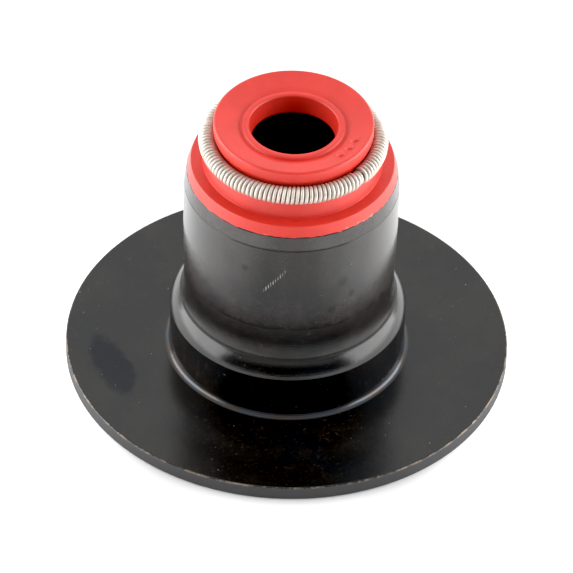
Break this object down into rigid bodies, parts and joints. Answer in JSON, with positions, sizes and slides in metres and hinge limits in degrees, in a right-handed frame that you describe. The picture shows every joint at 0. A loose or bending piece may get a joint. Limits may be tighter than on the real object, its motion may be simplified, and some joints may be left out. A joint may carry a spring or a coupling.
{
  "type": "valve stem seal",
  "caption": "Valve stem seal with a built-in spring seat: a flanged steel shell, a bonded red rubber seal body and a garter spring round its lip.",
  "frame": {"origin": "centre of the flange's underside, on the axis of the valve stem", "axes": "+Z along the valve stem, from the flange up through the lip; the mould marks on the top face lie towards +X and -Y"},
  "size_m": [0.036, 0.036, 0.0244],
  "materials": {
    "coated_steel": "thin glossy black coat on drawn steel, worn along the rim",
    "seal_rubber": "moulded red fluoro-rubber, satin",
    "spring_wire": "bright drawn spring wire"
  },
  "bodies": {
    "root": {"shell": "coated_steel", "seal_body": "seal_rubber", "garter_spring": "spring_wire"}
  },
  "joints": []
}
